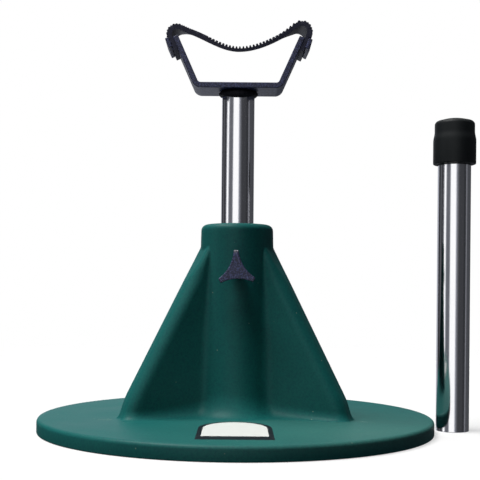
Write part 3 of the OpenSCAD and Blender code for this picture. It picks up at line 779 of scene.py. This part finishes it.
class STAND_OT_clamp(bpy.types.Operator):
    """Makes the three-armed knob, its boss and the threaded stud"""
    bl_idname = "stand.clamp"
    bl_label = "Clamp knob and stud"

    def execute(self, context):
        s = context.scene.stand_clamp
        low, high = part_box("clamp_knob")
        outline = self.outline(s)
        points = [(x, y, z) for y in (low.y, high.y) for x, z in outline]
        knob = soften(new_object("star_knob", *capped(points, len(outline))), s.edge)
        dress(knob, "powder_coat_hammered", "clamp_handle", ["clamp_knob"])
        # Bare patch on the upper tip, partly wear and partly a painted highlight
        tip = (-s.reach * math.sin(s.turn), s.height + s.reach * math.cos(s.turn))
        mark(knob, "rubbed_and_highlight", [max(0.0, 1 - math.dist((v.co.x, v.co.z), tip) / s.rubbed_and_highlight)
                              for v in knob.data.vertices])

        low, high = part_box("knob_boss")
        stud_low, stud_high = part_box("clamp_stud")
        e, room = s.boss_edge, 0.08 * MM
        outer, bore = (high.x - low.x) / 2 - e, (stud_high.x - stud_low.x) / 2 + room
        profile = [*arc((outer, low.y + e), e, -90, 0, 3), *arc((outer, high.y - e), e, 0, 90, 3),
                   (bore, high.y), (bore, low.y)]
        points, faces = revolve(profile, 64, closed=True)
        boss = new_object("knob_boss_turned", [(x, z, y + s.height) for x, y, z in points], faces)
        dress(boss, "powder_coat_hammered", "clamp_handle", ["knob_boss"])

        stud = new_object("threaded_stud", *self.thread(s, stud_low, stud_high))
        dress(stud, "steel_zinc_plated", "clamp_screw", ["clamp_stud"])
        return {"FINISHED"}

    @staticmethod
    def outline(s):
        """Three rounded tips with a hollow arc from each to the next, one tip up."""
        tip, side = s.reach - s.tip_round, s.tip_w / 2 - s.tip_round
        slant = math.cos(math.radians(30))
        half = tip * slant - s.tip_w / 4
        depth = tip / 2 + s.tip_w / 2 * slant - s.waist
        r = (half ** 2 + depth ** 2) / (2 * depth)
        steps = 24
        spread = math.degrees(math.asin(half / r)) * (1 - 2 / steps)
        end = [*arc((tip, -side), s.tip_round, -90, 0, 6), *arc((tip, side), s.tip_round, 0, 90, 6)]
        hollow = arc((s.waist + r, 0.0), r, 180 + spread, 180 - spread, steps - 2)
        shape = []
        for turn in (90, 210, 330):
            for points, more in ((end, 0), (hollow, 60)):
                a = math.radians(turn + more) + s.turn
                shape += [(x * math.cos(a) - y * math.sin(a),
                           s.height + x * math.sin(a) + y * math.cos(a)) for x, y in points]
        return shape

    @staticmethod
    def thread(s, low, high):
        """Skin of a stud whose radius follows a helix."""
        steps, per_turn = 40, 8
        rows = round((high.y - low.y) / s.pitch * per_turn)
        major = (high.x - low.x) / 2
        points = []
        for i in range(rows + 1):
            y = low.y + (high.y - low.y) * i / rows
            for j in range(steps):
                r = major - s.thread * abs(2 * ((y / s.pitch - j / steps) % 1) - 1)
                a = math.tau * j / steps
                points.append((r * math.cos(a), y, s.height + r * math.sin(a)))
        return capped(points, steps)


class Arms:
    """Places on the outer face of an arm: out of the face, across it and up it, from the tip."""

    def __init__(self, s):
        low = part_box("cradle_bracket")[0]
        self.sin, self.cos = math.sin(s.arm_lean), math.cos(s.arm_lean)
        self.inner_x = s.cradle_w / 2 + s.arm_l * self.sin
        self.inner_z = low.z + s.bar_t + s.arm_l * self.cos
        self.tip_x = self.inner_x + s.bar_t * self.cos
        self.tip_z = self.inner_z - s.bar_t * self.sin
        self.plate_in = s.strap_gap + s.strap_t + s.rib_h * s.rib_squash + s.seat_gap
        self.plate_out = self.plate_in + s.plate_t
        self.screw_up = s.plate_over - s.plate_l / 2

    def at(self, side, out, across, up):
        """A place on the left or the right arm."""
        return (side * (self.tip_x + out * self.cos + up * self.sin), across,
                self.tip_z - out * self.sin + up * self.cos)


class STAND_OT_bracket(bpy.types.Operator):
    """Bends the flat bar of the cradle, and welds it to the post"""
    bl_idname = "stand.bracket"
    bl_label = "Cradle bracket"

    def execute(self, context):
        s = context.scene.stand_cradle
        bar = soften(new_object("bent_bar_bracket", *self.bar(s)), s.bar_edge)
        dress(bar, "powder_coat_hammered", "cradle_head", ["cradle_bracket"])
        bead = new_object("weld_bead", *self.bead(s))
        dress(bead, "powder_coat_over_weld", "cradle_head", ["head_bead"])
        return {"FINISHED"}

    @staticmethod
    def bar(s):
        """Skin of the bent bar: its outer and its inner line, each in front and behind."""
        arms, steps = Arms(s), 12
        low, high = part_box("cradle_bracket")
        bend = 90 - math.degrees(s.arm_lean)
        flat = s.cradle_w / 2 - s.bend_r * math.tan(math.radians(bend / 2))
        centre = (flat, low.z + s.bar_t + s.bend_r)
        lines = []
        for r, tip in ((s.bend_r + s.bar_t, (arms.tip_x, arms.tip_z)),
                       (s.bend_r, (arms.inner_x, arms.inner_z))):
            half = [*arc(centre, r, -90, -90 + bend, steps), tip]
            lines.append([(-x, z) for x, z in half[::-1]] + half)
        n = len(lines[0])
        points = [(x, y, z) for line in lines for y in (low.y, high.y) for x, z in line]
        sides = ((0, n), (2 * n, 3 * n), (0, 2 * n), (n, 3 * n))
        faces = [(a + i, a + i + 1, b + i + 1, b + i) for i in range(n - 1) for a, b in sides]
        return points, faces + [(i, n + i, 3 * n + i, 2 * n + i) for i in (0, n - 1)]

    @staticmethod
    def bead(s):
        """Skin of the weld round the post, with its ripples."""
        low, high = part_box("head_bead")
        post_low, post_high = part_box("post_tube")
        turns, ripples, room = 192, 26, 0.08 * MM
        bore, half_h = (post_high.x - post_low.x) / 2 + room, (high.z - low.z) / 2
        bulge = s.bead_d / 2 - bore
        r = (half_h ** 2 + bulge ** 2) / (2 * bulge)
        spread = math.degrees(math.asin(half_h / r))
        profile = arc((s.bead_d / 2 - r, low.z + half_h), r, -spread, spread, 16)
        points, faces = revolve(profile, turns, closed=True)
        rippled = []
        for i, (x, y, z) in enumerate(points):
            out, turn = math.hypot(x, y), math.tau * (i % turns) / turns
            wave = 0.5 + 0.5 * math.sin(ripples * turn + (z - low.z) / half_h)
            scale = 1 - s.bead_ripple * wave * (out - bore) / bulge / out
            # The weld is fullest at the front and the back, where the bar overhangs the post
            squeeze = 1 - s.bead_thin * math.cos(turn) ** 2
            rippled.append((x * scale, y * scale, high.z - (high.z - z) * squeeze))
        return rippled, faces


class StrapRoute:
    """The strap's underside: up an arm, over its tip, down to the middle, and the same back."""
    bend_steps, sag_steps, tail_steps = 56, 96, 12

    def __init__(self, s):
        self.s = s
        self.arms = Arms(s)
        self.middle = np.array((0.0, self.arms.inner_z - s.strap_sag))
        left = [(-x, z) for x, z in self.half(s.hump_left, s.slope_left)]
        self.line = np.array(left + self.half(s.hump_right, s.slope_right)[-2::-1])
        steps = np.hypot(*np.diff(self.line, axis=0).T)
        self.gone = np.concatenate([[0], np.cumsum(steps)])
        self.length = self.gone[-1]

    def half(self, rise, slope):
        """Route from an arm's tail to the middle, on the right."""
        s, arms = self.s, self.arms
        turn = 90 + math.degrees(s.arm_lean + slope)
        tail = [(s.strap_gap, -s.strap_tail * (1 - i / self.tail_steps))
                for i in range(self.tail_steps)]
        bend = arc((s.strap_gap - s.hump_r, rise), s.hump_r, 0, turn, self.bend_steps)
        over = [arms.at(RIGHT, out, 0, up)[::2] for out, up in tail + bend]
        start = np.array(over[-1])
        reach = np.linalg.norm(start - self.middle)
        down = reach * np.array((-math.cos(slope), -math.sin(slope)))
        level = reach * np.array((-1.0, 0.0))
        sag = [
            tuple((2 * t ** 3 - 3 * t ** 2 + 1) * start + (t ** 3 - 2 * t ** 2 + t) * down
                  + (3 * t ** 2 - 2 * t ** 3) * self.middle + (t ** 3 - t ** 2) * level)
            for t in np.arange(1, self.sag_steps + 1) / self.sag_steps]
        return over + sag

    def point(self, along):
        """Place of the underside at a distance along the strap."""
        return np.array([np.interp(along, self.gone, self.line[:, k]) for k in (0, 1)])

    def tilt(self, along):
        """Tilt of the strap towards the front."""
        s = self.s
        runs = ((along - s.strap_tail - s.hump_left, s.tilt_left),
                (self.length - along - s.strap_tail - s.hump_right, s.tilt_right))
        return s.strap_tilt * math.prod(
            (1 - math.cos(math.pi * min(1, max(0, gone / run)))) / 2 for gone, run in runs)

    def rib(self, along):
        """Height of a rib, squashed under the clamp plates."""
        s = self.s
        clamped = min(along, self.length - along) < s.strap_tail + s.plate_over
        return s.rib_h * (s.rib_squash if clamped else 1)

    def closed(self, along):
        """Share by which the ribs close up, on the bends and along the left slope."""
        s = self.s
        ends = ((along, s.close_left), (self.length - along, s.close_right))
        return max(min(1, max(0, 1 - (gone - s.strap_tail - run) / s.close_fade))
                   for gone, run in ends)

    def section(self, along, profile):
        """Points of a section, from offsets across the strap and heights above its underside."""
        probe = 0.5 * MM
        (x, z), tilt = self.point(along), self.tilt(along)
        d = self.point(min(along + probe, self.length)) - self.point(max(along - probe, 0))
        d /= np.linalg.norm(d)
        sin, cos = math.sin(tilt), math.cos(tilt)
        return [(x - d[1] * h, y * cos - d[0] * h * sin, z + y * sin + d[0] * h * cos)
                for y, h in profile]


class STAND_OT_strap(bpy.types.Operator):
    """Lays the rough-top sling strap over both arms, rib by rib"""
    bl_idname = "stand.strap"
    bl_label = "Sling strap"
    # Steps across a rib, with its height in the sling and where a lesser rib closes the gap
    rib = ((0.0, 0.0, 1.0), (0.08, 0.0, 0.93), (0.18, 0.0, 0.7), (0.27, 0.5, 0.64),
           (0.36, 0.92, 0.86), (0.44, 1.0, 1.0), (0.56, 1.0, 1.0), (0.64, 0.92, 0.86),
           (0.73, 0.5, 0.64), (0.82, 0.0, 0.7), (0.92, 0.0, 0.93))
    # Height of a rib's nubs at steps along it, as shares
    nub = (0.12, 0.8, 1.0, 1.0, 1.0, 1.0, 1.0, 0.8)
    columns = 81

    def execute(self, context):
        s = context.scene.stand_cradle
        route = StrapRoute(s)
        ribs = int(route.length / s.rib_pitch)
        pitch = route.length / ribs
        stations = [((k + f) * pitch, 2 * k + round(2 * f), *heights)
                    for k in range(ribs) for f, *heights in self.rib]
        stations.append((route.length, 2 * ribs, *self.rib[0][1:]))
        half = s.strap_w / 2
        across = np.linspace(-half, half, self.columns)
        points, crest = [], []
        for along, row, gapped, filled in stations:
            rise = gapped + (filled - gapped) * route.closed(along)
            shift = len(self.nub) // 4 * row
            shares = [rise * self.nub[(j + shift) % len(self.nub)] for j in range(self.columns)]
            heights = [s.strap_t + route.rib(along) * part for part in shares]
            points += route.section(along, [*zip(across, heights), (half, 0.0), (-half, 0.0)])
            crest += [*shares, 0.0, 0.0]
        strap = new_object("sling_belt", *capped(points, self.columns + 2))
        mark(strap, "crest", crest)
        dress(strap, "rubber_belting_rough_top", "cradle_head", ["sling_strap"],
              crease=50.0)
        return {"FINISHED"}


class STAND_OT_strap_clamps(bpy.types.Operator):
    """Makes the clamp plates outside the arms and their flat-head screws"""
    bl_idname = "stand.strap_clamps"
    bl_label = "Strap clamps"
    steps = 48

    def execute(self, context):
        s = context.scene.stand_cradle
        arms = Arms(s)
        low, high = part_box("cradle_bracket")
        top, bottom = s.plate_over, s.plate_over - s.plate_l
        corners = ((arms.plate_in, bottom), (arms.plate_out, bottom),
                   (arms.plate_out, top), (arms.plate_in, top))
        for side, side_name in ((LEFT, "left"), (RIGHT, "right")):
            points = [arms.at(side, out, y, up) for y in (low.y, high.y) for out, up in corners]
            plate = new_object(f"clamp_plate_{side_name}", *capped(points, len(corners)))
            soften(plate, s.plate_edge)
            for place, place_name in ((FRONT, "front"), (REAR, "rear")):
                name = f"{side_name}_{place_name}"
                spot = place * s.screw_spacing / 2
                hole, shape = ([arms.at(side, out, spot + u, v + arms.screw_up)
                                for ring, out in rings for u, v in ring]
                               for rings in (self.countersink(s, arms), self.screw(s, arms)))
                cut_away(plate, new_object("countersink", *capped(hole, self.steps)))
                screw = new_object(f"flat_screw_{name}", *capped(shape, self.steps))
                dress(screw, "steel_black_oxide", "cradle_head",
                      [f"strap_screw_{name}"], crease=25.0)
            dress(plate, "powder_coat_hammered", "cradle_head",
                  [f"strap_plate_{side_name}"])
        return {"FINISHED"}

    def countersink(self, s, arms):
        """Rings of a screw's hole and its cone, each with its distance out of the arm."""
        past, rim = 1 * MM, arms.plate_out - s.screw_head_h
        shank, head = s.screw_d / 2 + s.screw_gap, s.screw_head_d / 2 + s.screw_gap
        return [(circle(r, self.steps), out) for r, out in (
            (shank, arms.plate_in - past), (shank, rim),
            (head, arms.plate_out), (head, arms.plate_out + past))]

    def screw(self, s, arms):
        """Rings of a flat-head screw with a hexagon socket, each with its distance out."""
        sunk, chamfer, worn_edge, flat_edge = 0.15 * MM, 0.6 * MM, 0.3 * MM, 0.5 * MM
        shank, head, tip = s.screw_d / 2, s.screw_head_d / 2, -s.bar_t - 0.4 * MM
        rim, top = arms.plate_out - s.screw_head_h, arms.plate_out - sunk
        corners, sixth = circle(s.hex_r, 6), self.steps // 6
        hexagon = [tuple(a * (1 - i / sixth) + b * i / sixth for a, b in zip(corner, after))
                   for corner, after in zip(corners, corners[1:] + corners[:1])
                   for i in range(sixth)]
        rings = [(circle(r, self.steps), out) for r, out in (
            (shank - chamfer, tip), (shank, tip + chamfer), (shank, rim),
            (head - worn_edge, top - worn_edge), (head - flat_edge, top))]
        return rings + [(hexagon, top), (hexagon, top - s.hex_depth)]


# Reflections that the tubes show, as degrees from the front towards the right, and brightness
STUDIO_PANELS = (
    (-180, -150, 0.68), (-150, -125, 0.06), (-125, -112, 0.17), (-112, -90, 0.07),
    (-90, -83, 0.5), (-83, -69, 1.7), (-69, -63, 0.6), (-63, -38, 0.22), (-38, -33, 0.5),
    (-33, 6, 1.6), (6, 12, 0.7), (12, 20, 0.3), (20, 27, 0.14), (27, 62, 0.08), (62, 80, 0.055),
    (80, 90, 0.33), (90, 125, 0.11), (125, 155, 0.09), (155, 174, 0.24), (174, 180, 0.4),
)
# Brightness of the round panel under the floor
LOW_PANEL = 0.3
# Lamps, as degrees from the front towards the right, degrees up, degrees across, and strength
STUDIO_LAMPS = (
    ("key", -90, 66, 25, 3.1), ("over", -40, 66, 18, 1.2), ("front", 0, 40, 12, 0.06),
)
WHITE = (1.0, 1.0, 1.0, 1.0)


class STAND_OT_stage(bpy.types.Operator):
    """Sets the floor, the reflecting panels, the light and the camera"""
    bl_idname = "stand.stage"
    bl_label = "Studio stage"

    def execute(self, context):
        scene = context.scene
        scene.view_settings.view_transform = "Standard"
        self.camera(scene)
        self.floor(scene)
        self.panels(scene)
        self.light(scene)
        return {"FINISHED"}

    @staticmethod
    def camera(scene):
        """A long lens a little over the disc, held upright and framed by its shift."""
        pixels, focal, horizon, roll = 480, 964, 292.7, math.radians(-0.5)
        data = bpy.data.cameras.new("photo_camera")
        data.sensor_width = 36
        data.lens = data.sensor_width * focal / pixels
        data.shift_y = (horizon - pixels / 2) / pixels
        data.clip_start, data.clip_end = 0.05, 50
        camera = bpy.data.objects.new("photo_camera", data)
        camera.location = (3.9 * MM, -1.13, 0.1593)
        camera.rotation_euler = (math.radians(90), roll, 0)
        scene.collection.objects.link(camera)
        scene.camera = camera

    @staticmethod
    def floor(scene):
        """A pale round floor that fades into the background."""
        radius, depth, drop = 3.0, 0.02, 0.2 * MM
        points, faces = revolve([(0.0, -depth), (radius, -depth), (radius, 0.0), (0.0, 0.0)], 64)
        floor = new_object("studio_floor", [(x, y, z - drop) for x, y, z in points], faces)
        finish, node, place = begin("floor_painted_pale")
        pale = rgba(scene.stand_colours.floor)
        seen = node("LightPath").outputs["Is Camera Ray"]
        # Light that bounces off the floor stays low, so that the stand keeps its shade
        dim = node("Mix", seen, (0.05, 0.05, 0.055, 1.0), pale, data_type="RGBA")
        matt = node("BsdfDiffuse", dim)
        glow = node("Emission", pale, Strength=1.07)
        level = node("Math", seen, 0.62, operation="MULTIPLY")
        lit = node("MixShader", level, matt, glow)
        span = node("VectorMath", place, operation="LENGTH")
        fade = node("MapRange", span, From_Min=0.7, From_Max=1.9, interpolation_type="SMOOTHSTEP")
        node("OutputMaterial", node("MixShader", fade, lit, node("BsdfTransparent")))
        floor.data.materials.append(finish)
        # The posts show the panels right down to the floor
        floor.visible_glossy = False

    @staticmethod
    def panels(scene):
        """Upright studio panels all round, seen in reflections only."""
        radius, low, high, round_steps, step_degrees = 3.2, -2.0, 3.0, 64, 4
        points, faces, kinds = [], [], []
        for k, (start, stop, _) in enumerate(STUDIO_PANELS):
            steps = max(2, round((stop - start) / step_degrees))
            low_line, row = len(points), steps + 1
            line = arc((0, 0), radius, start - 90, stop - 90, steps)
            points += [(x, y, z) for z in (low, high) for x, y in line]
            faces += [(i, i + 1, i + row + 1, i + row) for i in range(low_line, low_line + steps)]
            kinds += [k] * steps
        faces.append(tuple(range(len(points), len(points) + round_steps)))
        points += [(x, y, low) for x, y in circle(radius, round_steps)]
        kinds.append(len(STUDIO_PANELS))
        mesh = bpy.data.meshes.new("studio_panels")
        mesh.from_pydata(points, [], faces)
        panels = bpy.data.objects.new("studio_panels", mesh)
        scene.collection.objects.link(panels)
        for k, level in enumerate([level for _, _, level in STUDIO_PANELS] + [LOW_PANEL]):
            finish, node, _ = begin(f"studio_panel_{k}")
            # The dim panels are a blue-grey room, and the bright ones are white lamps
            tint = WHITE if level > 1 else (0.86, 0.89, 1.0, 1.0)
            node("OutputMaterial", node("Emission", tint, Strength=level))
            mesh.materials.append(finish)
        mesh.polygons.foreach_set("material_index", kinds)
        panels.visible_camera = panels.visible_diffuse = False
        panels.visible_shadow = panels.visible_transmission = False

    @staticmethod
    def light(scene):
        """Soft lamps from the upper left and the front, a dim bluish sky, a white background."""
        for name, turn, rise, spread, level in STUDIO_LAMPS:
            lamp = bpy.data.lights.new(name, "SUN")
            lamp.energy, lamp.angle = level, math.radians(spread)
            lamp.color = (1.0, 0.99, 0.97)
            holder = bpy.data.objects.new(name, lamp)
            holder.rotation_euler = (math.radians(90 - rise), 0.0, math.radians(turn))
            scene.collection.objects.link(holder)

        world = bpy.data.worlds.new("studio")
        world.use_nodes = True
        world.node_tree.nodes.clear()
        node = partial(add, world.node_tree)
        path = node("LightPath").outputs
        seen = node("Math", path["Is Camera Ray"], path["Is Glossy Ray"], operation="MAXIMUM")
        either = node("Math", seen, path["Is Transmission Ray"], operation="MAXIMUM")
        sky = node("Background", (0.6, 0.9, 1.7, 1.0), Strength=0.02)
        white = node("Background", WHITE, Strength=1)
        node("OutputWorld", node("MixShader", either, sky, white))
        scene.world = world


class VIEW3D_PT_stand(bpy.types.Panel):
    """Lists the steps that dress the stand"""
    bl_idname = "VIEW3D_PT_stand"
    bl_label = "Hoof trimming stand"
    bl_space_type = "VIEW_3D"
    bl_region_type = "UI"
    bl_category = "Stand"

    def draw(self, context):
        for operator in OPERATORS:
            self.layout.operator(operator.bl_idname)


GROUPS = {
    "stand_base": BaseSizes, "stand_clamp": ClampSizes, "stand_posts": PostSizes,
    "stand_cradle": CradleSizes, "stand_colours": StandColours,
}
OPERATORS = (
    STAND_OT_stage, STAND_OT_base, STAND_OT_label, STAND_OT_posts, STAND_OT_cap, STAND_OT_clamp,
    STAND_OT_bracket, STAND_OT_strap, STAND_OT_strap_clamps,
)


def register():
    """Registers the classes, and hangs the property groups on the scene."""
    for kind in (*GROUPS.values(), *OPERATORS, VIEW3D_PT_stand):
        bpy.utils.register_class(kind)
    for name, kind in GROUPS.items():
        setattr(bpy.types.Scene, name, PointerProperty(type=kind))


def unregister():
    """Takes back what register did."""
    for name in GROUPS:
        delattr(bpy.types.Scene, name)
    for kind in (VIEW3D_PT_stand, *reversed(OPERATORS), *reversed(GROUPS.values())):
        bpy.utils.unregister_class(kind)


def main():
    """Builds every piece."""
    register()
    bpy.ops.stand.stage()
    bpy.ops.stand.base()
    bpy.ops.stand.label()
    bpy.ops.stand.posts()
    bpy.ops.stand.cap()
    bpy.ops.stand.clamp()
    bpy.ops.stand.bracket()
    bpy.ops.stand.strap()
    bpy.ops.stand.strap_clamps()


if __name__ == "__main__":
    main()
